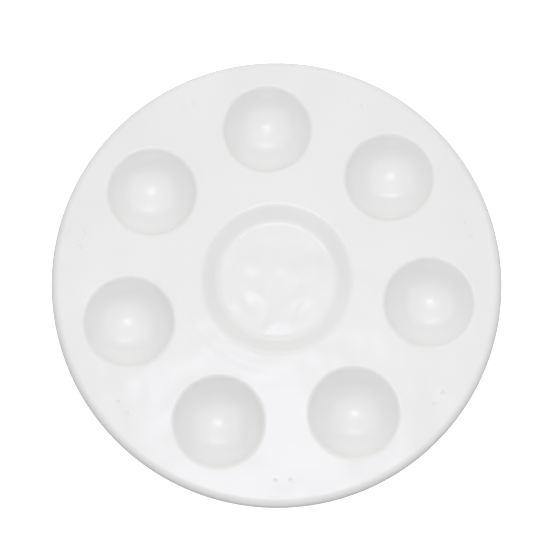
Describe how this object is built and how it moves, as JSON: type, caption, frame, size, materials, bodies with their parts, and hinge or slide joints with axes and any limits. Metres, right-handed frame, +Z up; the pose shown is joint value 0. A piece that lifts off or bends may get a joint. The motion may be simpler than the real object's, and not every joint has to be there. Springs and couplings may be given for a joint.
{
  "type": "paint palette",
  "caption": "Round white plastic palette for mixing paint: round bowl wells in a ring about a wide shallow dish, with a turned-down rim.",
  "frame": {"origin": "on the surface that the palette stands on, at the middle of the palette", "axes": "+Z up, out of the wells' mouths; +Y from the middle towards paint_well_1; the wells follow clockwise seen from above"},
  "size_m": [0.1786, 0.1786, 0.012],
  "materials": {
    "white_plastic": "glossy white moulded polystyrene, slightly wavy, faintly translucent"
  },
  "bodies": {
    "root": {"deck": "white_plastic", "turned_rim": "white_plastic", "mixing_dish": "white_plastic", "paint_well_1": "white_plastic", "paint_well_2": "white_plastic", "paint_well_3": "white_plastic", "paint_well_4": "white_plastic", "paint_well_5": "white_plastic", "paint_well_6": "white_plastic", "paint_well_7": "white_plastic"}
  },
  "joints": []
}
